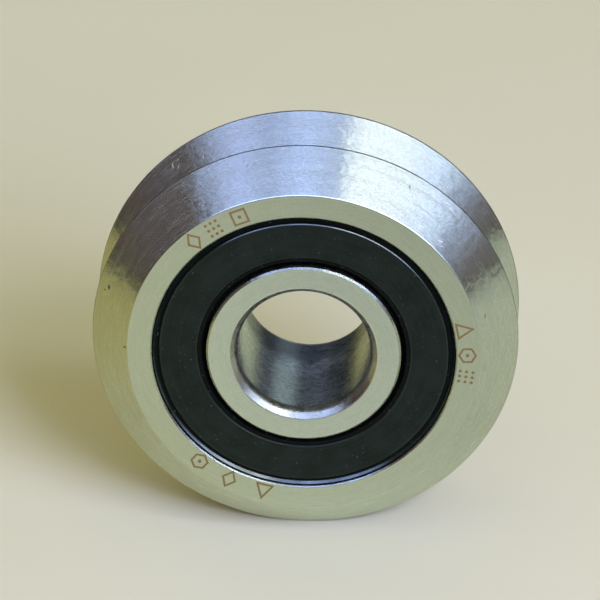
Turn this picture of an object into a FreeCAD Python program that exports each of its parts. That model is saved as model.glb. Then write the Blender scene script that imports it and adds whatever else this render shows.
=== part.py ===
"""V-groove track roller: a sealed double-row ball bearing whose outer ring is the wheel.

The wheel turns about the Y axis. The front side face looks towards -Y, and the origin is
the centre of the bore. Every ring is an outline of (radius, y) points turned round the
Y axis. Outlines are drawn for the rear half, y above zero, and the front half is its mirror
image. All sizes are in millimetres.
"""
import FreeCAD, Part
import math
import os

from FreeCAD import Vector

# Envelope of the wheel
bore_diameter = 9.525
outer_diameter = 30.73
wheel_width = 11.10
crest_spacing = 5.77          # between the outer edges of the two crests
crest_land = 0.10             # narrow flat ground on each crest
root_slot_width = 0.90        # relief slot at the bottom of the V groove
root_slot_radius = 12.40      # from the axis to the bottom of the slot
edge_break = 0.05             # blunted corner between a side face and its bevel

# Inner ring
bore_mouth_diameter = 10.68   # at the face, outside the chamfer
bore_mouth_chamfer = 0.32     # 45 degrees, then an arc runs on into the bore
inner_land_diameter = 14.00   # shoulders beside the faces
inner_middle_diameter = 13.70  # land between the two raceways
inner_chamfer = 0.14

# Balls and raceways
ball_diameter = 3.572
balls_per_row = 9
pitch_diameter = 16.60
row_offset = 2.15             # from the middle of the wheel to a row of balls
contact_angle = 30.0
race_conformity = 0.52        # raceway radius over ball diameter
race_clearance = 0.02         # gap at each contact

# Outer ring, inside
outer_middle_diameter = 18.90  # land between the two raceways
outer_side_diameter = 19.50   # land between a raceway and its seal seat
seat_chamfer = 0.20
seal_groove_diameter = 22.50
seal_groove_inner_depth = 0.98  # from the side face to the shoulder that the seal rests on
seal_groove_outer_depth = 0.58
seal_mouth_diameter = 21.86
seal_mouth_depth = 0.42
seal_mouth_chamfer = 0.10

# Seal, moulded rubber on a steel washer
seal_recess = 0.18            # flat of the seal below the side face
seal_flat_inner_radius = 7.72
seal_flat_outer_radius = 10.29
seal_round = 0.10
lip_recess = 0.26
lip_mouth_radius = 7.35
lip_throat_radius = 7.30
lip_throat_recess = 0.70
lip_tip_radius = 7.05
lip_tip_front_recess = 0.93
lip_tip_back_recess = 1.05
channel_recess = 0.42         # channel between the flat and the rim
channel_inner_radius = 10.42
channel_outer_radius = 10.63
rim_radius = 10.88
bead_radius = 11.23
bead_corner = 0.05            # blunted corners of the bead
bead_clearance = 0.03         # along Y, under the taper of its groove
insert_inner_radius = 7.80
insert_outer_radius = 10.60
insert_recess = 0.58
insert_thickness = 0.30
insert_clearance = 0.01

# Cage
cage_inner_diameter = 14.70
cage_outer_diameter = 18.50
cage_back = 4.42              # distance of the closed side from the middle of the wheel
cage_tips = 1.55              # distance of the claw tips
pocket_clearance = 0.08
claw_slot_width = 1.10
claw_slot_floor = 2.35        # distance of the slot's rounded end

# Worked out from the sizes above
ball_radius = ball_diameter / 2
bore_radius = bore_diameter / 2
crest_radius = outer_diameter / 2
half_width = wheel_width / 2
pitch_radius = pitch_diameter / 2
race_radius = race_conformity * ball_diameter
race_shift = race_radius - ball_radius - race_clearance
ball_pitch_angle = 360 / balls_per_row
wheel_axis = Vector(0, 1, 0)
origin = Vector(0, 0, 0)


def turned(outline):
    """Turn a closed outline round the Y axis.

    The outline is a list of steps: (start, end) is a straight side, and
    (start, through, end) is an arc. Each point is (radius, y).
    """
    edges = []
    for step in outline:
        points = [Vector(radius, y, 0) for radius, y in step]
        if len(points) == 3:
            edges.append(Part.Arc(*points).toShape())
        else:
            edges.append(Part.LineSegment(*points).toShape())
    face = Part.Face(Part.Wire(Part.__sortEdges__(edges)))
    return face.revolve(origin, wheel_axis, 360).removeSplitter()


def sides(points):
    """Straight steps through the points, in order."""
    return list(zip(points[:-1], points[1:]))


def arc(centre, radius, start_angle, end_angle):
    """One arc step. Angles are in degrees, from the radial direction towards +Y."""
    def at(angle):
        turn = math.radians(angle)
        return (centre[0] + radius * math.cos(turn), centre[1] + radius * math.sin(turn))
    return (at(start_angle), at((start_angle + end_angle) / 2), at(end_angle))


def with_mirror(half_outline):
    """A half outline that starts and ends on the middle plane, closed by its mirror image."""
    mirrored = []
    for step in reversed(half_outline):
        mirrored.append(tuple((radius, -y) for radius, y in reversed(step)))
    return half_outline + mirrored


def raceway(side, low_land_radius, high_land_radius):
    """Arc of a raceway, from its middle land to its side land.

    side is +1 for the outer ring's raceway and -1 for the inner ring's. The centre sits on
    the contact line, so that the gap to the ball is the race clearance at the contact.
    """
    slope = math.radians(contact_angle)
    centre_radius = pitch_radius - side * race_shift * math.cos(slope)
    centre_y = row_offset + side * race_shift * math.sin(slope)
    bottom = (centre_radius + side * race_radius, centre_y)

    def edge(land_radius, direction):
        run = math.sqrt(race_radius ** 2 - (land_radius - centre_radius) ** 2)
        return (land_radius, centre_y + direction * run)

    return (edge(low_land_radius, -1), bottom, edge(high_land_radius, 1))


def make_outer_ring():
    """Wheel rim: V groove and bevels outside, two raceways and two seal grooves inside."""
    crest_outer = crest_spacing / 2
    crest_inner = crest_outer - crest_land
    face_radius = crest_radius - (half_width - crest_outer)
    slot_half = root_slot_width / 2
    slot_edge_radius = crest_radius - (crest_inner - slot_half)
    slot_centre_radius = root_slot_radius + slot_half
    race = raceway(1, outer_middle_diameter / 2, outer_side_diameter / 2)
    seat_y = half_width - seal_groove_inner_depth
    side_land_radius = outer_side_diameter / 2
    groove_radius = seal_groove_diameter / 2
    mouth_radius = seal_mouth_diameter / 2

    slot_round = arc((slot_centre_radius, 0), slot_half, 180, 90)
    half = [slot_round]
    half += sides([
        slot_round[-1],
        (slot_edge_radius, slot_half),
        (crest_radius, crest_inner),
        (crest_radius, crest_outer),
        (face_radius + edge_break, half_width - edge_break),
        (face_radius - edge_break, half_width),
        (mouth_radius + seal_mouth_chamfer, half_width),
        (mouth_radius, half_width - seal_mouth_chamfer),
        (mouth_radius, half_width - seal_mouth_depth),
        (groove_radius, half_width - seal_groove_outer_depth),
        (groove_radius, seat_y),
        (side_land_radius + seat_chamfer, seat_y),
        (side_land_radius, seat_y - seat_chamfer),
        race[2],
    ])
    half.append(race[::-1])
    half += sides([race[0], (outer_middle_diameter / 2, 0)])
    return turned(with_mirror(half))


def make_inner_ring():
    """Inner ring: plain bore with eased mouths, and two raceways outside."""
    race = raceway(-1, inner_middle_diameter / 2, inner_land_diameter / 2)
    land_radius = inner_land_diameter / 2
    mouth_radius = bore_mouth_diameter / 2
    chamfer_end = (mouth_radius - bore_mouth_chamfer, half_width - bore_mouth_chamfer)
    ease_radius = (chamfer_end[0] - bore_radius) / (1 - math.cos(math.radians(45)))
    ease_centre = (
        bore_radius + ease_radius,
        chamfer_end[1] - ease_radius * math.sin(math.radians(45)),
    )
    ease = arc(ease_centre, ease_radius, 180, 135)

    half = sides([(bore_radius, 0), ease[0]])
    half.append(ease)
    half += sides([
        ease[2],
        (mouth_radius, half_width),
        (land_radius - inner_chamfer, half_width),
        (land_radius, half_width - inner_chamfer),
        race[2],
    ])
    half.append(race[::-1])
    half += sides([race[0], (inner_middle_diameter / 2, 0)])
    return turned(with_mirror(half))


def make_rear_seal():
    """Rubber seal: a flat with a channel and rim outside it and a lip inside it.

    The rim's bead sits in the outer ring's groove and rests on its shoulder. The lip runs
    just clear of the inner ring. The back is open for the steel washer.
    """
    flat_y = half_width - seal_recess
    lip_y = half_width - lip_recess
    channel_y = half_width - channel_recess
    seat_y = half_width - seal_groove_inner_depth
    notch_y = half_width - insert_recess
    notch_inner_radius = insert_inner_radius - insert_clearance
    notch_outer_radius = insert_outer_radius + insert_clearance
    mouth_radius = seal_mouth_diameter / 2
    groove_radius = seal_groove_diameter / 2
    taper = (seal_groove_outer_depth - seal_mouth_depth) / (groove_radius - mouth_radius)
    bead_top_radius = bead_radius - bead_corner

    def under_taper(radius):
        mouth_y = half_width - seal_mouth_depth - bead_clearance
        return mouth_y - taper * (radius - mouth_radius)

    lip_round = arc((lip_mouth_radius + seal_round, lip_y - seal_round), seal_round, 180, 90)
    shoulder = arc((seal_flat_outer_radius, flat_y - seal_round), seal_round, 90, 0)

    outline = [lip_round]
    outline += sides([
        lip_round[2],
        (seal_flat_inner_radius - (lip_recess - seal_recess), lip_y),
        (seal_flat_inner_radius, flat_y),
        shoulder[0],
    ])
    outline.append(shoulder)
    outline += sides([
        shoulder[2],
        (channel_inner_radius, channel_y),
        (channel_outer_radius, channel_y),
        (rim_radius, channel_y + (rim_radius - channel_outer_radius)),
        (rim_radius, under_taper(rim_radius)),
        (bead_top_radius, under_taper(bead_top_radius)),
        (bead_radius, under_taper(bead_top_radius) - bead_corner),
        (bead_radius, seat_y + bead_corner),
        (bead_top_radius, seat_y),
        (notch_outer_radius, seat_y),
        (notch_outer_radius, notch_y),
        (notch_inner_radius, notch_y),
        (notch_inner_radius, seat_y),
        (lip_mouth_radius, seat_y),
        (lip_tip_radius, half_width - lip_tip_back_recess),
        (lip_tip_radius, half_width - lip_tip_front_recess),
        (lip_throat_radius, half_width - lip_throat_recess),
        lip_round[0],
    ])
    return turned(outline)


def make_rear_insert():
    """Steel washer moulded into the back of a seal."""
    top_y = half_width - insert_recess
    bottom_y = top_y - insert_thickness
    return turned(sides([
        (insert_inner_radius, bottom_y),
        (insert_outer_radius, bottom_y),
        (insert_outer_radius, top_y),
        (insert_inner_radius, top_y),
        (insert_inner_radius, bottom_y),
    ]))


def ball_centres(side, first_angle):
    """Centres of one row. side is -1 for the front row and +1 for the rear row."""
    centres = []
    for number in range(balls_per_row):
        turn = math.radians(first_angle + number * ball_pitch_angle)
        centres.append(Vector(
            pitch_radius * math.cos(turn),
            side * row_offset,
            pitch_radius * math.sin(turn),
        ))
    return centres


def turn_about_axis(shape, angle):
    """Turn a shape round the wheel's axis, from +X towards +Z."""
    shape.rotate(origin, wheel_axis, -angle)
    return shape


def make_rear_cage(first_angle):
    """Crown cage: a closed back beside the seal, round pockets, and claws in pairs."""
    inner_radius = cage_inner_diameter / 2
    outer_radius = cage_outer_diameter / 2
    ring = turned(sides([
        (inner_radius, cage_tips),
        (outer_radius, cage_tips),
        (outer_radius, cage_back),
        (inner_radius, cage_back),
        (inner_radius, cage_tips),
    ]))
    # A pocket's poles point along the radius and its seam faces the open side of the cage.
    pocket_turn = FreeCAD.Rotation(Vector(0, -1, 0), Vector(0, 0, -1), Vector(1, 0, 0), "ZXY")
    slot_radius = claw_slot_width / 2
    slot_end = claw_slot_floor - slot_radius
    slot_start = Vector(inner_radius - 1, slot_end, 0)
    slot_length = outer_radius - inner_radius + 2
    open_corner = Vector(inner_radius - 1, cage_tips - 1, -slot_radius)
    cutters = []
    for number in range(balls_per_row):
        pocket = Part.makeSphere(ball_radius + pocket_clearance)
        pocket.Placement = FreeCAD.Placement(Vector(pitch_radius, row_offset, 0), pocket_turn)
        cutters.append(turn_about_axis(pocket, (number + 0.5) * ball_pitch_angle))
        slot = Part.makeCylinder(slot_radius, slot_length, slot_start, Vector(1, 0, 0))
        way_out = Part.makeBox(
            slot_length, slot_end - cage_tips + 1, claw_slot_width, open_corner)
        slot = slot.fuse(way_out).removeSplitter()
        cutters.append(turn_about_axis(slot, number * ball_pitch_angle))
    cage = ring.cut(cutters)
    return turn_about_axis(cage, first_angle - ball_pitch_angle / 2)


def front_from_rear(shape):
    """Mirror image on the other side of the middle plane."""
    return shape.mirror(origin, wheel_axis)


def export(name, shape):
    """Write one sub-part as a single solid."""
    solid = shape.Solids[0]
    if len(shape.Solids) != 1 or not solid.isValid():
        raise ValueError(name + " is not one valid solid")
    solid.exportStep("parts/" + name + ".step")
    print(name, round(solid.Volume, 2), "mm3")


os.makedirs("parts", exist_ok=True)

rear_seal = make_rear_seal()
rear_insert = make_rear_insert()
export("outer_ring", make_outer_ring())
export("inner_ring", make_inner_ring())
export("seal_rear", rear_seal)
export("seal_front", front_from_rear(rear_seal))
export("seal_insert_rear", rear_insert)
export("seal_insert_front", front_from_rear(rear_insert))

# The front row starts at the top of the wheel, and the rear row is half a pitch further on.
front_start = 90.0
rear_start = front_start + ball_pitch_angle / 2
export("cage_front", front_from_rear(make_rear_cage(front_start)))
export("cage_rear", make_rear_cage(rear_start))
for row_name, side, start in (("front", -1, front_start), ("rear", 1, rear_start)):
    for number, centre in enumerate(ball_centres(side, start), start=1):
        export("ball_%s_%d" % (row_name, number), Part.makeSphere(ball_radius, centre))
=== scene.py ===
"""Looks of the V-groove track roller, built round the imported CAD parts.

Objects are placed in metres in the CAD model's frame: the wheel's axis is Y, the front face
looks towards -Y, and +Z is up. Outlines are written in millimetres, as (radius, y).
"""

import math

import bpy
from mathutils import Matrix, Vector


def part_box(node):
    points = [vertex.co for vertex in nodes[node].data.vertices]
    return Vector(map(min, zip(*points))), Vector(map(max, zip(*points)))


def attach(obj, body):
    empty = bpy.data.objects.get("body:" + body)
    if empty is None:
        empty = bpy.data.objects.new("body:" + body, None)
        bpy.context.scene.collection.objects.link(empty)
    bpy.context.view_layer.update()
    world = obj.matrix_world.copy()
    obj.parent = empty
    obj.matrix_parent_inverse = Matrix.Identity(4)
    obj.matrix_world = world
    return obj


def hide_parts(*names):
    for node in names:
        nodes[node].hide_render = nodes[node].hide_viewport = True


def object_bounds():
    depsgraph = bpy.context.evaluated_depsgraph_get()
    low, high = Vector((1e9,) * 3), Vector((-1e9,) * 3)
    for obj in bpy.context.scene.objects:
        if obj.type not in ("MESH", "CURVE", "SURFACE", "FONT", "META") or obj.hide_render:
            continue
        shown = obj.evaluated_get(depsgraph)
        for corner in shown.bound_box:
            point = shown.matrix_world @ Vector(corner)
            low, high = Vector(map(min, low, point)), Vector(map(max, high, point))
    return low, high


MM = 0.001

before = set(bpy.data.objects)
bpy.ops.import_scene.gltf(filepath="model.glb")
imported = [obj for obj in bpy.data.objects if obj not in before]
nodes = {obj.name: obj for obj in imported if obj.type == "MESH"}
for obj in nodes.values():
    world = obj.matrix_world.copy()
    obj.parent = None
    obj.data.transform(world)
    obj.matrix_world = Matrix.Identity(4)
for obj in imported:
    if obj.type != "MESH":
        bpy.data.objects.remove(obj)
cad_low, cad_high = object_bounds()

# Envelope of the wheel, in millimetres like all the sizes down to the marks. A recess or a
# depth is measured from a side face, and a distance along Y from the middle plane.
half_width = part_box("outer_ring")[1].y / MM
crest_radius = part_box("outer_ring")[1].x / MM
bore_radius = 9.525 / 2

# Outer ring
CREST_OUT, CREST_IN = 2.885, 2.785      # a crest's outer and inner edge along Y
ROOT_RADIUS = 12.40                     # from the axis to the bottom of the V groove's slot
ROOT_HALF = 0.45                        # half of the slot's width
EDGE_STRIP = 0.06                       # bright strip of the bevel beside the side face
SEAL_MOUTH = 10.93                      # radius where the seal goes in
MOUTH_CHAMFER = 0.10
MOUTH_DEPTH = 0.42
SEAL_GROOVE = 11.25                     # radius of the groove that holds the seal's bead
GROOVE_DEPTH = 0.58
SEAT_DEPTH = 0.98                       # of the shoulder that the seal rests on
SEAT_CHAMFER = 0.20
OUTER_SIDE_LAND = 9.75
OUTER_MIDDLE_LAND = 9.45

# Inner ring
INNER_MIDDLE_LAND = 6.85
INNER_SIDE_LAND = 7.00
INNER_CHAMFER = 0.14
BORE_MOUTH = 5.34                       # radius at the side face
BORE_CHAMFER = 0.32

# Balls and raceways
BALL_DIAMETER = 3.572
PITCH_RADIUS = 8.30
ROW_OFFSET = 2.15                       # from the middle plane to a row of balls
CONTACT_ANGLE = math.radians(30)
RACE_CONFORMITY = 0.52                  # a raceway's radius over a ball's diameter
RACE_CLEARANCE = 0.02
race_radius = RACE_CONFORMITY * BALL_DIAMETER
race_shift = race_radius - BALL_DIAMETER / 2 - RACE_CLEARANCE

# Seal: radii, and recesses below the side face
RIM = 10.88
CHANNEL_OUTER, CHANNEL_INNER, CHANNEL_RECESS = 10.63, 10.42, 0.42
FLAT_OUTER, FLAT_INNER, FLAT_RECESS = 10.33, 7.72, 0.18
SHOULDER_SLOPE = 0.07                   # drop and width of the slope outside the flat
LIP_MOUTH, LIP_RECESS = 7.35, 0.26
LIP_THROAT, THROAT_RECESS = 7.30, 0.70
LIP_TIP, TIP_FRONT_RECESS, TIP_BACK_RECESS = 7.05, 0.93, 1.05
NOTCH_OUTER, NOTCH_INNER, NOTCH_RECESS = 10.61, 7.79, 0.58      # where the washer sits
BEAD = 11.23
BEAD_CLEARANCE = 0.03                   # along Y, under the taper of its groove

# Marks and nicks
MARK_SCALE, MARK_LINE = 1.15, 0.13
PLATE_PROUD, PLATE_SUNK = 0.004, 0.010

# The photograph's viewing direction, in degrees
VIEW_AZIMUTH, VIEW_ELEVATION = 2.613, 27.941


# ---------------------------------------------------------------- node helpers

class Nodes:
    """Short ways to add and join nodes in one tree."""

    def __init__(self, tree):
        self.tree = tree

    def add(self, kind, **settings):
        """A new node with its properties set."""
        node = self.tree.nodes.new(kind)
        for name, value in settings.items():
            setattr(node, name, value)
        return node

    def put(self, socket, value):
        """A socket takes another socket's output or a constant."""
        if isinstance(value, bpy.types.NodeSocket):
            self.tree.links.new(value, socket)
        else:
            socket.default_value = value

    def place(self):
        """Where a point is on its own object, in metres."""
        return self.add("ShaderNodeTexCoord").outputs["Object"]

    def split(self, vector):
        """The x, y and z of a vector."""
        node = self.add("ShaderNodeSeparateXYZ")
        self.put(node.inputs[0], vector)
        return node.outputs

    def math(self, operation, a, b=0.0):
        """Arithmetic on one or two numbers."""
        node = self.add("ShaderNodeMath", operation=operation)
        self.put(node.inputs[0], a)
        self.put(node.inputs[1], b)
        return node.outputs[0]

    def vector(self, operation, a, b=None):
        """Arithmetic on a vector and, where it takes one, a second vector or a factor."""
        node = self.add("ShaderNodeVectorMath", operation=operation)
        self.put(node.inputs[0], a)
        if b is not None:
            self.put(node.inputs["Scale" if operation == "SCALE" else 1], b)
        return node.outputs["Value" if operation in ("LENGTH", "DOT_PRODUCT") else 0]

    def weighted(self, *shares):
        """Sum of values, each times its weight."""
        total = None
        for value, weight in shares:
            share = self.math("MULTIPLY", value, weight)
            total = share if total is None else self.math("ADD", total, share)
        return total

    def smooth(self, value, low, high, to_low=0.0, to_high=1.0):
        """Smooth step from to_low to to_high while value goes from low to high."""
        node = self.add("ShaderNodeMapRange", interpolation_type="SMOOTHSTEP")
        self.put(node.inputs["Value"], value)
        self.put(node.inputs["From Min"], low)
        self.put(node.inputs["From Max"], high)
        self.put(node.inputs["To Min"], to_low)
        self.put(node.inputs["To Max"], to_high)
        return node.outputs["Result"]

    def spread(self, value, low, high):
        """Value from 0..1 to low..high, straight."""
        node = self.add("ShaderNodeMapRange")
        self.put(node.inputs["Value"], value)
        self.put(node.inputs["To Min"], low)
        self.put(node.inputs["To Max"], high)
        return node.outputs["Result"]

    def mix(self, share, first, second):
        """Colour that goes from the first to the second as share goes from 0 to 1."""
        node = self.add("ShaderNodeMix", data_type="RGBA")
        self.put(node.inputs[0], share)
        self.put(node.inputs[6], first)
        self.put(node.inputs[7], second)
        return node.outputs[2]

    def noise(self, vector, scale, detail=3.0, roughness=0.5):
        """Cloudy noise with scale cells in each unit of the vector."""
        node = self.add("ShaderNodeTexNoise")
        self.put(node.inputs["Vector"], vector)
        node.inputs["Scale"].default_value = scale
        node.inputs["Detail"].default_value = detail
        node.inputs["Roughness"].default_value = roughness
        return node.outputs["Fac"]

    def rings(self, turns, across, roughness=0.5):
        """Noise in streaks that run round the wheel's axis, and turn with the piece.

        turns is the number of noise cells per millimetre round a circle of 10 mm radius, and
        across the number per millimetre along the radius, with half as many along Y.
        """
        x, y, z = self.split(self.place())
        square = self.math("ADD", self.math("MULTIPLY", x, x), self.math("MULTIPLY", z, z))
        radius = self.math("SQRT", square)
        circle = turns * 10.0
        run = self.math("ADD", radius, self.math("MULTIPLY", y, 0.5))
        vector = self.add("ShaderNodeCombineXYZ")
        self.put(vector.inputs[0], self.math("MULTIPLY", self.math("DIVIDE", x, radius), circle))
        self.put(vector.inputs[1], self.math("MULTIPLY", run, across / MM))
        self.put(vector.inputs[2], self.math("MULTIPLY", self.math("DIVIDE", z, radius), circle))
        return self.noise(vector.outputs[0], 1.0, 3.0, roughness)

    def bump(self, height, depth, below=None):
        """Normal of a surface whose height runs over depth metres."""
        node = self.add("ShaderNodeBump")
        node.inputs["Strength"].default_value = 1.0
        node.inputs["Distance"].default_value = depth
        self.put(node.inputs["Height"], height)
        if below is not None:
            self.put(node.inputs["Normal"], below)
        return node.outputs["Normal"]


def new_material(name):
    """A material with one Principled shader, the short way to its nodes, and the shader."""
    material = bpy.data.materials.new(name)
    material.use_nodes = True
    tree = material.node_tree
    tree.nodes.clear()
    n = Nodes(tree)
    shader = n.add("ShaderNodeBsdfPrincipled")
    out = n.add("ShaderNodeOutputMaterial")
    tree.links.new(shader.outputs[0], out.inputs[0])
    return material, n, shader


def tone(colour, share=1.0):
    """A colour times share, as a colour socket takes it."""
    return [min(1, part * share) for part in colour] + [1]


# ------------------------------------------------------------------- materials

def steel(name, colour, roughness, anisotropy, contrast, ripple=0.0, pits=1e-6,
          rough_spread=0.03, chatter=0.0, shaded_rear=False):
    """Steel with machining marks that run round the wheel's axis.

    contrast is the share by which streaks lighten and darken the colour, ripple the depth of
    the soft unevenness in metres, pits the depth of the fine one, and chatter the depth of
    the marks that lie across the grain. With shaded_rear the colour darkens towards the rear
    end, a painted shade deep inside the bore.
    """
    material, n, shader = new_material(name)
    place = n.place()
    streak = n.rings(turns=0.8, across=8.0, roughness=0.6)
    band = n.rings(turns=0.15, across=2.2, roughness=0.6)
    wave = n.noise(place, 1.5 / MM, 2.0, 0.5)
    speckle = n.noise(place, 7.0 / MM, 2.0, 0.7)
    level = n.weighted((streak, 0.45), (band, 0.15), (speckle, 0.4))
    shade = n.mix(n.smooth(level, 0.40, 0.60),
                  tone(colour, 1 - contrast), tone(colour, 1 + contrast))
    if shaded_rear:
        # Painted shade: towards the rear end, deep inside the bore, the colour darkens to a
        # near-black tone, with a ragged edge.
        patch = n.math("MULTIPLY", n.noise(place, 0.7 / MM, 3.0, 0.6), 3.5 * MM)
        depth = n.math("ADD", n.split(place)[1], patch)
        rear_shade = n.smooth(depth, 2.4 * MM, 4.9 * MM, 0.0, 0.8)
        shade = n.mix(rear_shade, shade, tone((0.10, 0.10, 0.105)))
    n.put(shader.inputs["Base Color"], shade)
    shader.inputs["Metallic"].default_value = 1.0
    rough = n.weighted((streak, 0.6), (band, 0.4))
    n.put(shader.inputs["Roughness"],
          n.smooth(rough, 0.35, 0.65, roughness - rough_spread, roughness + rough_spread))
    # The tangent runs round the axis, and a quarter turn spreads the sheen across the marks.
    shader.inputs["Anisotropic"].default_value = anisotropy
    shader.inputs["Anisotropic Rotation"].default_value = 0.25
    n.put(shader.inputs["Tangent"],
          n.add("ShaderNodeTangent", direction_type="RADIAL", axis="Y").outputs[0])
    uneven = n.bump(wave, ripple)
    if chatter:
        uneven = n.bump(n.rings(turns=0.9, across=0.5), chatter, uneven)
    uneven = n.bump(speckle, pits, uneven)
    n.put(shader.inputs["Normal"], n.bump(streak, 6e-7, uneven))
    return material


def rubber(name, colour, low_rough, high_rough, specular, relief=3e-6):
    """Moulded black rubber with faint rings and specks of dust. relief is in metres."""
    material, n, shader = new_material(name)
    place = n.place()
    wide = n.noise(place, 0.6 / MM, 4.0, 0.6)
    fine = n.noise(place, 14.0 / MM, 2.0)
    rings = n.rings(turns=0.1, across=5.0)
    level = n.weighted((wide, 0.6), (rings, 0.4))
    shade = n.mix(n.smooth(level, 0.35, 0.65), tone(colour, 0.7), tone(colour, 1.4))
    specks = n.smooth(n.noise(place, 5.0 / MM, 2.0, 0.7), 0.68, 0.74, 0.0, 0.5)
    n.put(shader.inputs["Base Color"], n.mix(specks, shade, tone((0.16, 0.17, 0.16))))
    n.put(shader.inputs["Roughness"], n.smooth(wide, 0.35, 0.65, low_rough, high_rough))
    shader.inputs["Specular IOR Level"].default_value = specular
    n.put(shader.inputs["Normal"], n.bump(n.weighted((fine, 0.5), (rings, 0.5)), relief))
    return material


def nylon(name, dark, light):
    """Natural nylon, a little translucent."""
    material, n, shader = new_material(name)
    place = n.place()
    wide = n.noise(place, 0.5 / MM, 4.0)
    fine = n.noise(place, 12.0 / MM, 3.0)
    n.put(shader.inputs["Base Color"], n.mix(n.smooth(wide, 0.3, 0.7), tone(dark), tone(light)))
    n.put(shader.inputs["Roughness"], n.spread(fine, 0.38, 0.5))
    shader.inputs["Subsurface Weight"].default_value = 0.1
    shader.inputs["Subsurface Scale"].default_value = 0.5 * MM
    n.put(shader.inputs["Normal"], n.bump(fine, 4e-6))
    return material


def polished(name, colour, roughness):
    """Smooth bright steel."""
    material, n, shader = new_material(name)
    place = n.place()
    wide = n.noise(place, 0.9 / MM, 3.0)
    fine = n.noise(place, 20.0 / MM, 3.0)
    n.put(shader.inputs["Base Color"], n.mix(wide, tone(colour, 0.96), tone(colour, 1.04)))
    shader.inputs["Metallic"].default_value = 1.0
    n.put(shader.inputs["Roughness"], n.spread(fine, roughness * 0.8, roughness * 1.2))
    n.put(shader.inputs["Normal"], n.bump(fine, 2e-7))
    return material


def etched(name, dark, light):
    """Burnt, rusted or scratched steel, matt and speckled."""
    material, n, shader = new_material(name)
    fine = n.noise(n.place(), 16.0 / MM, 3.0, 0.7)
    n.put(shader.inputs["Base Color"], n.mix(n.smooth(fine, 0.3, 0.7), tone(dark), tone(light)))
    shader.inputs["Metallic"].default_value = 0.1
    n.put(shader.inputs["Roughness"], n.spread(fine, 0.5, 0.7))
    n.put(shader.inputs["Normal"], n.bump(fine, 2e-6))
    return material


ground = steel("ground_steel", (0.55, 0.56, 0.52), roughness=0.25, anisotropy=1.0,
               contrast=0.11, ripple=18e-6, pits=1.5e-6, chatter=30e-6)
faced = steel("faced_steel", (0.61, 0.63, 0.57), roughness=0.36, anisotropy=0.2,
              contrast=0.05, ripple=5e-6, pits=8e-7)
faced_inner = steel("faced_inner_steel", (0.665, 0.695, 0.69), roughness=0.34, anisotropy=0.2,
                    contrast=0.05, ripple=5e-6, pits=8e-7)
# Honed steel, with painted shade that darkens it towards its rear end.
honed = steel("honed_steel", (0.52, 0.54, 0.52), roughness=0.29, anisotropy=0.5,
              contrast=0.30, ripple=12e-6, pits=2e-6, rough_spread=0.05, shaded_rear=True)
mouth_steel = steel("mouth_steel", (0.44, 0.42, 0.37), roughness=0.30, anisotropy=0.35,
                    contrast=0.15, ripple=10e-6, pits=2e-6, rough_spread=0.05)
# Nearly black steel on the crest lands: painted shade, a dark line where the crests mirror the
# dim surroundings.
painted_shade_crest_steel = steel("painted_shade_crest_steel", (0.11, 0.11, 0.12), roughness=0.42, anisotropy=0.3,
                    contrast=0.3)
raceway_steel = polished("raceway_steel", (0.60, 0.60, 0.59), 0.12)
ball_steel = polished("ball_steel", (0.70, 0.70, 0.71), 0.06)
washer_steel = polished("insert_steel", (0.42, 0.42, 0.41), 0.35)
edge_steel = polished("edge_steel", (0.55, 0.56, 0.55), 0.20)
flat_rubber = rubber("seal_rubber", (0.0045, 0.0080, 0.0065), 0.30, 0.42, 0.2)
# Darker, duller rubber in the seal's channel, lip and hollows: painted shade in the recesses.
shaded_channel_rubber = rubber("shaded_channel_rubber", (0.0020, 0.0028, 0.0026), 0.55, 0.70, 0.1)
edge_rubber = rubber("edge_rubber", (0.0045, 0.0080, 0.0065), 0.08, 0.20, 0.8, relief=6e-6)
nylon_natural = nylon("cage_nylon", (0.50, 0.44, 0.31), (0.60, 0.54, 0.40))
# Near-white matt steel for the bright nicks: real scratches, with a painted glint in their
# colour.
scratch_painted_glint = etched("bare_scratch_painted_glint", (0.60, 0.61, 0.62), (0.85, 0.86, 0.87))
mark_brown = etched("etched_mark", (0.115, 0.072, 0.026), (0.215, 0.145, 0.058))
pit_brown = etched("rust_pit", (0.05, 0.03, 0.015), (0.16, 0.10, 0.05))


# -------------------------------------------------------------- turned pieces

GROUND, FACED, HONED, RACE, CREST, FACED_INNER, EDGE, MOUTH = range(8)
ring_materials = [ground, faced, honed, raceway_steel, painted_shade_crest_steel, faced_inner, edge_steel,
                  mouth_steel]
# Material numbers of the seal; CHANNEL runs take the rubber darkened by painted shade.
FLAT, CHANNEL, SHOULDER = range(3)
seal_materials = [flat_rubber, shaded_channel_rubber, edge_rubber]

CORNER_PARTS = 4                        # straight pieces in a rounded corner
ARC_PARTS = 10                          # in the slot's bottom or the bore's mouth
RACE_PARTS = 24                         # in a raceway
WHEEL_STEPS, RING_STEPS = 480, 360      # facets round the axis


def unit(radius, y):
    """The direction (radius, y) at length 1."""
    length = math.hypot(radius, y)
    return (radius / length, y / length)


class Outline:
    """A closed outline of (radius, y) points, walked with the metal on its left.

    Each run keeps the normals at its own two ends, so that corners stay crisp and rounded
    corners shade smoothly. A run also has a material number.
    """

    def __init__(self):
        self.runs = []

    def line(self, a, b, material, parts=1):
        """Straight from a to b in equal parts."""
        normal = unit(b[1] - a[1], a[0] - b[0])
        for k in range(parts):
            p = [a[i] + (b[i] - a[i]) * k / parts for i in (0, 1)]
            q = [a[i] + (b[i] - a[i]) * (k + 1) / parts for i in (0, 1)]
            self.runs.append((p, q, normal, normal, material))

    def arc(self, centre, radius, start, end, outwards, material, parts):
        """Arc from the start angle to the end angle, in degrees from the radial direction
        towards +Y. outwards is 1 on a convex arc and -1 on a hollow one."""
        stops = []
        for k in range(parts + 1):
            turn_by = math.radians(start + (end - start) * k / parts)
            ray = (math.cos(turn_by), math.sin(turn_by))
            point = [centre[i] + radius * ray[i] for i in (0, 1)]
            stops.append((point, (ray[0] * outwards, ray[1] * outwards)))
        for (p, n1), (q, n2) in zip(stops[:-1], stops[1:]):
            self.runs.append((p, q, n1, n2, material))


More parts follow.
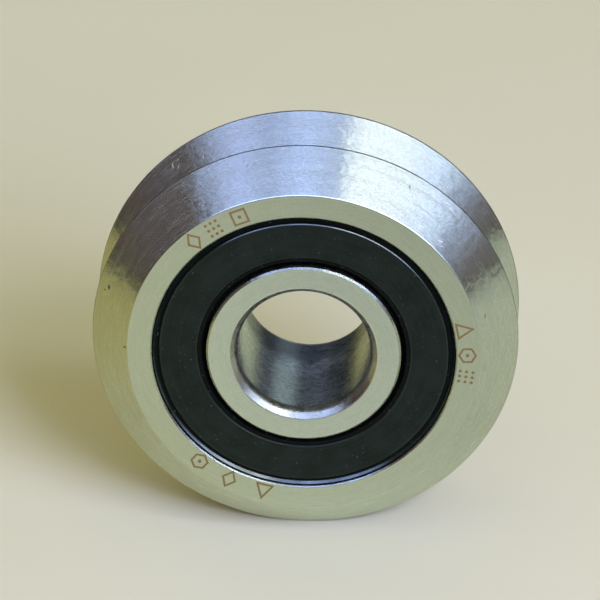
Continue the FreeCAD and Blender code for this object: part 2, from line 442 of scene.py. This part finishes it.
def rounded_path(corners, closed=False):
    """Outline runs through corners of (radius, y, rounding, edge, side, parts).

    edge is the material of a corner's rounding, and side the material of the straight that
    follows the corner, in that many parts.
    """
    outline = Outline()
    count = len(corners)
    trimmed = []
    for i, (radius, y, rounding) in enumerate(corner[:3] for corner in corners):
        here = Vector((radius, y))
        if not closed and i in (0, count - 1) or rounding == 0:
            trimmed.append((here, here, None))
            continue
        before = (Vector(corners[i - 1][:2]) - here).normalized()
        after = (Vector(corners[(i + 1) % count][:2]) - here).normalized()
        half = before.angle(after) / 2
        cut = rounding / math.tan(half)
        centre = here + (before + after).normalized() * (rounding / math.sin(half))
        trimmed.append((here + before * cut, here + after * cut, centre))
    for i, (start, end, centre) in enumerate(trimmed):
        rounding, edge, side, parts = corners[i][2:]
        if centre is not None:
            first = math.degrees(math.atan2(start.y - centre.y, start.x - centre.x))
            last = math.degrees(math.atan2(end.y - centre.y, end.x - centre.x))
            swing = (last - first + 180) % 360 - 180
            outwards = 1 if swing > 0 else -1
            outline.arc(centre, rounding, first, first + swing, outwards, edge, CORNER_PARTS)
        if i < count - 1 or closed:
            following = trimmed[(i + 1) % count][0]
            outline.line(end, following, side, parts)
    return outline.runs


def mirrored(runs):
    """The same runs on the other side of the middle plane, walked back."""
    flip = []
    for p, q, n1, n2, material in reversed(runs):
        flip.append(((q[0], -q[1]), (p[0], -p[1]), (n2[0], -n2[1]), (n1[0], -n1[1]), material))
    return flip


def new_piece(name, vertices, faces, materials):
    """An object in the scene, made from a mesh."""
    mesh = bpy.data.meshes.new(name)
    mesh.from_pydata(vertices, [], faces)
    for material in materials:
        mesh.materials.append(material)
    mesh.update()
    piece = bpy.data.objects.new(name, mesh)
    bpy.context.scene.collection.objects.link(piece)
    return piece


def turn(name, runs, materials, steps):
    """Piece with a closed outline turned round the Y axis, with exact normals."""
    count = len(runs)
    points = [run[0] for run in runs]
    vertices = []
    turns = [(math.cos(2 * math.pi * k / steps), math.sin(2 * math.pi * k / steps))
             for k in range(steps)]
    for c, s in turns:
        vertices += [(p[0] * c * MM, p[1] * MM, p[0] * s * MM) for p in points]
    faces = []
    numbers = []
    normals = []
    for k in range(steps):
        after = (k + 1) % steps
        for i, run in enumerate(runs):
            j = (i + 1) % count
            faces.append((k * count + i, k * count + j, after * count + j, after * count + i))
            numbers.append(run[4])
            for (c, s), normal in ((turns[k], run[2]), (turns[k], run[3]),
                                   (turns[after], run[3]), (turns[after], run[2])):
                normals.append((normal[0] * c, normal[1], normal[0] * s))
    piece = new_piece(name, vertices, faces, materials)
    piece.data.polygons.foreach_set("material_index", numbers)
    piece.data.polygons.foreach_set("use_smooth", [True] * len(faces))
    piece.data.update()
    piece.data.normals_split_custom_set(normals)
    return piece


def raceway(side, first_land, last_land):
    """Runs of a rear raceway, from one land's radius to another's.

    side is 1 for the outer ring's raceway and -1 for the inner ring's. The centre sits on
    the contact line, so that the gap to the ball is the race clearance at the contact.
    """
    centre = (PITCH_RADIUS - side * race_shift * math.cos(CONTACT_ANGLE),
              ROW_OFFSET + side * race_shift * math.sin(CONTACT_ANGLE))

    def angle(land):
        """Angle at which the arc meets a land, from the radial direction."""
        return math.degrees(math.acos((land - centre[0]) / race_radius))

    start = side * angle(first_land)
    swing = (start + side * angle(last_land)) % 360
    race = Outline()
    race.arc(centre, race_radius, start, start - swing, -1, RACE, RACE_PARTS)
    return race.runs


def outer_ring_runs():
    """Rear half from the groove's root out over the crest and face, and in to the raceway."""
    w = half_width
    slot_centre = ROOT_RADIUS + ROOT_HALF
    slot_edge = crest_radius - (CREST_IN - ROOT_HALF)
    face_radius = crest_radius - (w - CREST_OUT)
    race = raceway(1, OUTER_SIDE_LAND, OUTER_MIDDLE_LAND)
    race_start, race_end = race[0][0], race[-1][1]

    root = Outline()
    root.arc((slot_centre, 0), ROOT_HALF, 180, 90, -1, GROUND, ARC_PARTS)
    outside = rounded_path([
        (slot_centre, ROOT_HALF, 0, GROUND, GROUND, 1),
        (slot_edge, ROOT_HALF, 0.04, GROUND, GROUND, 3),
        (crest_radius, CREST_IN, 0.08, CREST, CREST, 1),
        (crest_radius, CREST_OUT, 0.08, CREST, GROUND, 4),
        (face_radius + EDGE_STRIP, w - EDGE_STRIP, 0, EDGE, EDGE, 1),
        (face_radius, w, 0.10, EDGE, FACED, 2),
        (SEAL_MOUTH + MOUTH_CHAMFER, w, 0.05, GROUND, GROUND, 1),
        (SEAL_MOUTH, w - MOUTH_CHAMFER, 0.02, HONED, HONED, 1),
        (SEAL_MOUTH, w - MOUTH_DEPTH, 0, HONED, HONED, 1),
        (SEAL_GROOVE, w - GROOVE_DEPTH, 0, HONED, HONED, 1),
        (SEAL_GROOVE, w - SEAT_DEPTH, 0, HONED, HONED, 1),
        (OUTER_SIDE_LAND + SEAT_CHAMFER, w - SEAT_DEPTH, 0, HONED, HONED, 1),
        (OUTER_SIDE_LAND, w - SEAT_DEPTH - SEAT_CHAMFER, 0, HONED, HONED, 1),
        (race_start[0], race_start[1], 0, RACE, RACE, 1),
    ])
    inside = Outline()
    inside.line(race_end, (OUTER_MIDDLE_LAND, 0), RACE)
    return root.runs + outside + race + inside.runs


def inner_ring_runs():
    """Rear half from the middle land over a raceway and the face, and into the bore."""
    w = half_width
    chamfer_end = (BORE_MOUTH - BORE_CHAMFER, w - BORE_CHAMFER)
    ease = (chamfer_end[0] - bore_radius) / (1 - math.cos(math.radians(45)))
    ease_centre = (bore_radius + ease, chamfer_end[1] - ease * math.sin(math.radians(45)))
    race = raceway(-1, INNER_MIDDLE_LAND, INNER_SIDE_LAND)
    race_start, race_end = race[0][0], race[-1][1]

    middle = Outline()
    middle.line((INNER_MIDDLE_LAND, 0), race_start, RACE)
    outside = rounded_path([
        (race_end[0], race_end[1], 0, HONED, HONED, 1),
        (INNER_SIDE_LAND, w - INNER_CHAMFER, 0.03, GROUND, GROUND, 1),
        (INNER_SIDE_LAND - INNER_CHAMFER, w, 0.03, GROUND, FACED_INNER, 2),
        (BORE_MOUTH, w, 0.22, FACED_INNER, MOUTH, 1),
        (chamfer_end[0], chamfer_end[1], 0, MOUTH, MOUTH, 1),
    ])
    mouth = Outline()
    mouth.arc(ease_centre, ease, 135, 180, 1, MOUTH, ARC_PARTS)
    mouth.line((bore_radius, ease_centre[1]), (bore_radius, 0), HONED, 3)
    return middle.runs + race + outside + mouth.runs


def seal_runs():
    """Rear seal, from its rim over the flat to the lip and back along the washer's seat."""
    w = half_width
    taper = (GROOVE_DEPTH - MOUTH_DEPTH) / (SEAL_GROOVE - SEAL_MOUTH)
    channel_y = w - CHANNEL_RECESS
    shoulder_y = w - FLAT_RECESS - SHOULDER_SLOPE
    lip_y = w - LIP_RECESS
    seat_y = w - SEAT_DEPTH
    notch_y = w - NOTCH_RECESS

    def under_taper(radius):
        """Where the rubber stays just clear of its groove's taper."""
        return w - MOUTH_DEPTH - BEAD_CLEARANCE - taper * (radius - SEAL_MOUTH)

    return rounded_path([
        (RIM, under_taper(RIM), 0, CHANNEL, CHANNEL, 1),
        (RIM, channel_y + (RIM - CHANNEL_OUTER), 0.03, CHANNEL, SHOULDER, 1),
        (CHANNEL_OUTER, channel_y, 0.03, CHANNEL, CHANNEL, 1),
        (CHANNEL_INNER, channel_y, 0.02, CHANNEL, CHANNEL, 1),
        (FLAT_OUTER + SHOULDER_SLOPE, shoulder_y, 0.03, SHOULDER, SHOULDER, 1),
        (FLAT_OUTER, w - FLAT_RECESS, 0.04, SHOULDER, FLAT, 1),
        (FLAT_INNER, w - FLAT_RECESS, 0.04, SHOULDER, FLAT, 1),
        (FLAT_INNER - (LIP_RECESS - FLAT_RECESS), lip_y, 0.04, CHANNEL, CHANNEL, 1),
        (LIP_MOUTH, lip_y, 0.08, CHANNEL, CHANNEL, 1),
        (LIP_THROAT, w - THROAT_RECESS, 0.05, CHANNEL, CHANNEL, 1),
        (LIP_TIP, w - TIP_FRONT_RECESS, 0.02, CHANNEL, CHANNEL, 1),
        (LIP_TIP, w - TIP_BACK_RECESS, 0.02, CHANNEL, CHANNEL, 1),
        (LIP_MOUTH, seat_y, 0, CHANNEL, CHANNEL, 1),
        (NOTCH_INNER, seat_y, 0, CHANNEL, CHANNEL, 1),
        (NOTCH_INNER, notch_y, 0, CHANNEL, CHANNEL, 1),
        (NOTCH_OUTER, notch_y, 0, CHANNEL, CHANNEL, 1),
        (NOTCH_OUTER, seat_y, 0, CHANNEL, CHANNEL, 1),
        (BEAD, seat_y, 0.04, CHANNEL, CHANNEL, 1),
        (BEAD, under_taper(BEAD), 0.04, CHANNEL, CHANNEL, 1),
    ], closed=True)


def stand_for(piece, node, body):
    """The piece takes the place of a CAD node."""
    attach(piece, body)
    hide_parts(node)


outer_half = outer_ring_runs()
outer_runs = outer_half + mirrored(outer_half)
outer_piece = turn("outer_ring_finished", outer_runs, ring_materials, WHEEL_STEPS)
stand_for(outer_piece, "outer_ring", "wheel")

inner_half = inner_ring_runs()
inner_runs = inner_half + mirrored(inner_half)
inner_piece = turn("inner_ring_finished", inner_runs, ring_materials, RING_STEPS)
stand_for(inner_piece, "inner_ring", "inner_ring")

rear_runs = seal_runs()
for side, runs in (("rear", rear_runs), ("front", mirrored(rear_runs))):
    piece = turn("seal_" + side + "_finished", runs, seal_materials, RING_STEPS)
    stand_for(piece, "seal_" + side, "wheel")


# ----------------------------------------------- CAD parts kept as they are

CAD_FINISHES = (("ball_", ball_steel), ("cage_", nylon_natural), ("seal_insert_", washer_steel))

for name, node in nodes.items():
    for start, finish in CAD_FINISHES:
        if name.startswith(start):
            node.data.materials.clear()
            node.data.materials.append(finish)


# ------------------------------------------------------------ marks and nicks

def band(corners):
    """A closed line of MARK_LINE's width round a polygon: its outer and inner outlines.

    The corners run anticlockwise, and the outlines have mitred corners.
    """
    outer = []
    inner = []
    for k, corner in enumerate(corners):
        here = Vector(corner)
        before = (here - Vector(corners[k - 1])).normalized()
        after = (Vector(corners[(k + 1) % len(corners)]) - here).normalized()
        across = Vector((before.y, -before.x))
        mitre = (across + Vector((after.y, -after.x))).normalized()
        reach = MARK_LINE / 2 / mitre.dot(across)
        outer.append(here + mitre * reach)
        inner.append(here - mitre * reach)
    return [outer, inner]


def polygon(sides, radius, first=0, x=0.0, y=0.0):
    """Corners of a regular polygon, from the first angle on, anticlockwise."""
    corners = []
    for k in range(sides):
        turn_by = math.radians(first + 360 * k / sides)
        corners.append((x + radius * math.cos(turn_by), y + radius * math.sin(turn_by)))
    return corners


def dot(x=0.0, y=0.0, radius=0.12):
    """A round spot."""
    return [polygon(12, radius, 0, x, y)]


def diamond():
    """A rhombus standing on its point."""
    return [band([(0, 0.58), (-0.42, 0), (0, -0.58), (0.42, 0)])]


def hexagon():
    """A hexagon on its point, with a dot in the middle."""
    return [band(polygon(6, 0.52, 30)), dot()]


def grid():
    """Three columns of three dots."""
    return [dot(x, y, 0.105) for x in (-0.36, 0, 0.36) for y in (-0.4, 0, 0.4)]


def triangle():
    """A triangle with its point up."""
    return [band([(-0.5, -0.48), (0.5, -0.48), (0, 0.5)])]


def square():
    """A square with a dot in the middle."""
    return [band([(-0.45, -0.45), (0.45, -0.45), (0.45, 0.45), (-0.45, 0.45)]), dot()]


def plates(name, material, placed):
    """Thin plates let into a surface, all in one piece that turns with the wheel.

    placed is a list of (outlines, place, right, up, out): a plate's outline, and that of
    its hole if it has one, in millimetres, the point of the surface that they are measured
    from, the two directions that they are measured along, and the direction out of it.
    """
    vertices = []
    faces = []
    for outlines, place, right, up, out in placed:
        first = len(vertices)
        count = len(outlines[0])
        under = count * len(outlines)
        for lift in (PLATE_PROUD, -PLATE_SUNK):
            for px, py in [point for outline in outlines for point in outline]:
                vertices.append((place + right * px + up * py + out * lift) * MM)
        top = range(first, first + count)
        if len(outlines) == 1:
            faces.append(list(top))
            faces.append([k + under for k in reversed(top)])
        for k in top:
            j = k + 1 if k + 1 in top else first
            faces.append((j, k, k + under, j + under))
            if len(outlines) == 2:
                inner_k, inner_j = k + count, j + count
                faces.append((k, j, inner_j, inner_k))
                faces.append((inner_k + under, inner_j + under, j + under, k + under))
                faces.append((inner_k, inner_j, inner_j + under, inner_k + under))
    piece = new_piece(name, vertices, faces, [material])
    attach(piece, "wheel")


def round_the_wheel(angle):
    """Directions out from the axis and clockwise round it, seen from the front."""
    turn_by = math.radians(angle)
    radial = Vector((math.cos(turn_by), 0, math.sin(turn_by)))
    return radial, Vector((radial.z, 0, -radial.x))


def face_marks(groups):
    """Figures on the front side face, each with its top away from the axis.

    Each group is (radius, figures), and each figure (shapes, angle round the wheel).
    """
    placed = []
    for radius, figures in groups:
        for shapes, angle in figures:
            radial, along = round_the_wheel(angle)
            place = radial * radius + Vector((0, -half_width, 0))
            for shape in shapes:
                outlines = [[(px * MARK_SCALE, py * MARK_SCALE) for px, py in outline]
                            for outline in shape]
                placed.append((outlines, place, along, radial, Vector((0, -1, 0))))
    return placed


def nick(length, width):
    """A ragged sliver, with its length along its first direction."""
    sides = 9
    outline = []
    for k in range(sides):
        turn_by = 2 * math.pi * k / sides
        ragged = 1 + 0.3 * math.sin(5 * turn_by + length * 20)
        outline.append((length / 2 * math.cos(turn_by) * ragged,
                        width / 2 * math.sin(turn_by) * ragged))
    return outline


def bevel_nicks(rows):
    """Nicks on the surfaces that face forwards at 45 degrees.

    Each row is (crest, angle, depth, length, width, tilt): which crest the surface starts
    from, the angle round the wheel, the distance inwards from the crest along the radius,
    the nick's size, and its angle from the circumference.
    """
    placed = []
    for crest, angle, depth, length, width, tilt in rows:
        radial, along = round_the_wheel(angle)
        y = -CREST_OUT - depth if crest == "front" else CREST_IN - depth
        place = radial * (crest_radius - depth) + Vector((0, y, 0))
        slope = (radial + Vector((0, 1, 0))).normalized()
        out = (radial - Vector((0, 1, 0))).normalized()
        spin = math.radians(tilt)
        right = along * math.cos(spin) + slope * math.sin(spin)
        up = slope * math.cos(spin) - along * math.sin(spin)
        placed.append(([nick(length, width)], place, right, up, out))
    return placed


plates("etched_marks", mark_brown, face_marks([
    (11.85, [(diamond(), 131), (grid(), 122.5), (square(), 112.5)]),
    (11.75, [(triangle(), 11), (hexagon(), 1), (grid(), -7.5),
             (hexagon(), 230), (diamond(), 242.5), (triangle(), 255.5)]),
]))
plates("bright_nicks", scratch_painted_glint, bevel_nicks([
    ("rear", 131.5, 0.60, 0.50, 0.06, 75), ("rear", 130.2, 0.85, 0.36, 0.05, 40),
    ("rear", 129.4, 0.50, 0.20, 0.06, 10), ("rear", 122.0, 1.15, 0.24, 0.05, 60),
    ("rear", 80.8, 0.80, 0.42, 0.07, 115), ("rear", 79.6, 0.95, 0.30, 0.06, 50),
    ("front", 48.0, 0.30, 0.60, 0.05, 8), ("front", 46.0, 0.42, 0.50, 0.05, 5),
    ("front", 43.2, 2.10, 0.50, 0.05, 25), ("front", 41.8, 2.25, 0.24, 0.04, 35),
]))
plates("brown_nicks", pit_brown, bevel_nicks([
    ("front", 163.7, 0.72, 0.40, 0.24, 30), ("front", 165.3, 0.50, 0.18, 0.12, 80),
    ("front", 179.0, 2.50, 0.26, 0.15, 100), ("front", 59.5, 0.72, 0.34, 0.08, 120),
    ("front", 13.5, 2.05, 0.34, 0.08, 150), ("rear", 27.0, 0.35, 0.22, 0.09, 20),
    ("front", 150.0, 0.60, 0.16, 0.09, 60), ("front", 157.0, 1.60, 0.13, 0.09, 10),
]))


# ----------------------------------------------------------------------- floor

FLOOR_SIZE = 4.0                        # metres


def floor_with_painted_reflection():
    """Pale matt floor, which glossy surfaces mirror in a painted reflection colour.

    The painted reflection is warmer than the floor, yellower on the left and greener on the
    right. It carries painted light, brightest under the wheel, and painted shade a little in
    front of it, mostly on the right, and fades far away, mostly on the left.
    """
    material, n, shader = new_material("floor_pale_painted_reflection")
    place = n.place()
    x, y = n.split(place)[:2]
    reach = n.vector("LENGTH", place)
    soft = n.noise(place, 30.0, 2.0)
    pale = n.mix(n.smooth(soft, 0.3, 0.7), tone((0.615, 0.595, 0.465)), tone((0.63, 0.61, 0.48)))

    # Places in front of the wheel count as further to the right.
    ahead = n.math("MINIMUM", y, 0.0)
    rightness = n.math("SUBTRACT", x, n.math("MULTIPLY", ahead, 0.6))
    # Painted shade and light in the mirrored floor: yellower and darker on the left, greener on
    # the right.
    bounce = n.mix(n.smooth(rightness, -60 * MM, 30 * MM),
                   tone((0.51, 0.46, 0.165)), tone((0.56, 0.60, 0.41)))
    far_share = n.smooth(x, -100 * MM, 100 * MM, 0.15, 0.85)
    front_share = n.smooth(x, -14 * MM, -2 * MM, 0.95, 0.66)
    step_share = n.smooth(x, -14 * MM, -2 * MM, 1.0, 0.9)
    far = n.smooth(reach, 90 * MM, 300 * MM, 1.0, far_share)
    near = n.smooth(reach, 3 * MM, 22 * MM, 1.4, 1.04)
    front = n.smooth(y, -60 * MM, -15 * MM, front_share, 1.0)
    step = n.smooth(y, -11 * MM, -5 * MM, step_share, 1.0)
    fall = n.math("MULTIPLY", far, near)
    fall = n.math("MULTIPLY", fall, front)
    fall = n.math("MULTIPLY", fall, step)
    painted_mirror_colour = n.vector("SCALE", bounce, fall)

    # Glossy rays see the painted reflection colour in place of the floor's own.
    path = n.add("ShaderNodeLightPath").outputs
    n.put(shader.inputs["Base Color"], n.mix(path["Is Glossy Ray"], pale, painted_mirror_colour))
    shader.inputs["Roughness"].default_value = 0.6
    shader.inputs["Specular IOR Level"].default_value = 0.3
    return material


bpy.ops.mesh.primitive_grid_add(x_subdivisions=8, y_subdivisions=8, size=FLOOR_SIZE,
                                location=(0, 0, cad_low.z))
floor = bpy.context.object
floor.name = "floor"
floor.data.materials.append(floor_with_painted_reflection())


# ---------------------------------------------------------------------- lights

KEY_AZIMUTH, KEY_ELEVATION = 33, 32     # degrees
KEY_DISTANCE, KEY_SIZE = 0.35, 0.16     # metres
KEY_RADIANCE = 23.4
KEY_COLOUR = (0.62, 0.665, 1.0)

# Colours of a strip light by the place on the bevel that mirrors it, in degrees from the
# right of somebody who looks at that bevel, over the top.
STRIP_COLOURS = (
    (26, (0, 0, 0)), (33, (0.05, 0.06, 0.08)), (40, (0.14, 0.19, 0.29)),
    (50, (0.42, 0.54, 0.74)), (60, (0.53, 0.62, 0.72)), (75, (0.57, 0.66, 0.74)),
    (80, (0.22, 0.30, 0.46)), (90, (0.27, 0.37, 0.64)), (101, (0.17, 0.24, 0.42)),
    (111, (0.22, 0.30, 0.55)), (120, (0.10, 0.14, 0.24)), (126, (0, 0, 0)),
)
STRIP_CORE, STRIP_EDGE = 0.012, 0.032   # how far off a bevel's normal it shines, as a sine
FRONT_STRIP_POWER, REAR_STRIP_POWER = 16.0, 8.0

CARD_AZIMUTH, CARD_ELEVATION = 163, 24  # degrees
CARD_CORE, CARD_EDGE = 2, 15            # degrees from its middle to full and to no light


def towards(azimuth, elevation):
    """Unit direction. Azimuth 0 is -Y and 90 is +X; elevation is above the horizon."""
    a, e = math.radians(azimuth), math.radians(elevation)
    return Vector((math.sin(a) * math.cos(e), -math.cos(a) * math.cos(e), math.sin(e)))


def key_light():
    """Square soft light from the front right, which no glossy surface mirrors."""
    light = bpy.data.lights.new("key_light", "AREA")
    light.shape = "RECTANGLE"
    light.size = KEY_SIZE
    light.size_y = KEY_SIZE
    light.energy = KEY_RADIANCE * math.pi * KEY_SIZE * KEY_SIZE
    light.color = KEY_COLOUR
    lamp = bpy.data.objects.new("key_light", light)
    bpy.context.scene.collection.objects.link(lamp)
    lamp.location = towards(KEY_AZIMUTH, KEY_ELEVATION) * KEY_DISTANCE
    lamp.rotation_euler = (-lamp.location).to_track_quat("-Z", "Y").to_euler()
    lamp.visible_camera = False
    lamp.visible_glossy = False


def strip_light(n, ray, eye, side, power):
    """Narrow curved strip light that a bevel turned towards eye mirrors all along its top.

    The half-way direction between the ray and the eye is the surface normal that mirrors it.
    side is -1 for the front bevels and 1 for the rear ones, and power the radiance.
    """
    hx, hy, hz = n.split(n.vector("NORMALIZE", n.vector("ADD", ray, eye)))
    tilt = n.math("ABSOLUTE", n.math("SUBTRACT", hy, side * math.sqrt(0.5)))
    strip = n.smooth(tilt, STRIP_CORE, STRIP_EDGE, power, 0.0)
    arch = n.math("DIVIDE", n.math("ARCTAN2", hz, n.math("MULTIPLY", hx, -side)), math.pi)
    ramp = n.add("ShaderNodeValToRGB")
    n.put(ramp.inputs[0], arch)
    stops = ramp.color_ramp.elements
    for degrees, shade in STRIP_COLOURS:
        stop = stops.new(degrees / 180)
        stop.color = tone(shade)
    stops.remove(stops[0])
    stops.remove(stops[-1])
    return n.vector("SCALE", ramp.outputs[0], strip)


def studio():
    """World of soft walls, two strip lights and a small card.

    Each is placed by the direction that it is seen in: x to the right, y to the rear.
    """
    world = bpy.data.worlds.new("studio")
    bpy.context.scene.world = world
    world.use_nodes = True
    tree = world.node_tree
    tree.nodes.clear()
    n = Nodes(tree)
    ray = n.add("ShaderNodeTexCoord").outputs["Generated"]
    x, y = n.split(ray)[:2]

    # Dim walls: warm in front and cool at the rear, where the left is darker.
    behind = n.mix(n.smooth(x, -0.44, -0.26),
                   tone((0.03, 0.036, 0.042)), tone((0.085, 0.10, 0.13)))
    room = n.mix(n.smooth(y, -0.2, 0.6), tone((0.12, 0.085, 0.075)), behind)
    # A brighter wall straight in front of the wheel.
    middle = n.smooth(n.math("ABSOLUTE", x), 0.35, 0.6, 1.0, 0.0)
    straight = n.math("MULTIPLY", n.smooth(y, -0.65, -0.92), middle)
    room = n.mix(straight, room, tone((0.45, 0.48, 0.50)))
    # A strip light for the front bevels, and one for the rear bevels as seen from the rear.
    for azimuth, side, power in ((VIEW_AZIMUTH, -1, FRONT_STRIP_POWER),
                                 (180 - VIEW_AZIMUTH, 1, REAR_STRIP_POWER)):
        eye = towards(azimuth, VIEW_ELEVATION)
        room = n.vector("ADD", room, strip_light(n, ray, eye, side, power))
    # A soft round card at the rear.
    aim = n.vector("DOT_PRODUCT", ray, towards(CARD_AZIMUTH, CARD_ELEVATION))
    card = n.smooth(aim, math.cos(math.radians(CARD_EDGE)), math.cos(math.radians(CARD_CORE)))
    room = n.mix(card, room, tone((0.44, 0.56, 0.62)))

    # Matt surfaces are filled with a warm light, and the camera sees a plain backdrop.
    path = n.add("ShaderNodeLightPath").outputs
    colour = n.mix(path["Is Diffuse Ray"], room, tone((0.48, 0.41, 0.11)))
    colour = n.mix(path["Is Camera Ray"], colour, tone((0.62, 0.62, 0.56)))
    background = n.add("ShaderNodeBackground")
    n.put(background.inputs["Color"], colour)
    out = n.add("ShaderNodeOutputWorld")
    tree.links.new(background.outputs[0], out.inputs[0])


key_light()
studio()
bpy.context.scene.view_settings.view_transform = "Standard"


# ---------------------------------------------------------------------- camera

# Millimetres. The camera stands a little left of and above the wheel's own line of view, so
# that the wheel lies in the frame as it does in the photograph.
CAMERA_DISTANCE = 355.23
CAMERA_RIGHT, CAMERA_UP = -0.505, 1.314
CAMERA_LENS, CAMERA_SENSOR = 293.3, 36.0

back = towards(VIEW_AZIMUTH, VIEW_ELEVATION)
right = Vector((math.cos(math.radians(VIEW_AZIMUTH)), math.sin(math.radians(VIEW_AZIMUTH)), 0))
up = back.cross(right)
camera_data = bpy.data.cameras.new("camera")
camera_data.sensor_width = CAMERA_SENSOR
camera_data.lens = CAMERA_LENS
camera_data.clip_start = 0.01
camera_data.clip_end = 20.0
camera = bpy.data.objects.new("camera", camera_data)
bpy.context.scene.collection.objects.link(camera)
camera.matrix_world = Matrix((
    (right.x, up.x, back.x, 0), (right.y, up.y, back.y, 0), (right.z, up.z, back.z, 0),
    (0, 0, 0, 1)))
camera.location = (back * CAMERA_DISTANCE + right * CAMERA_RIGHT + up * CAMERA_UP) * MM
bpy.context.scene.camera = camera
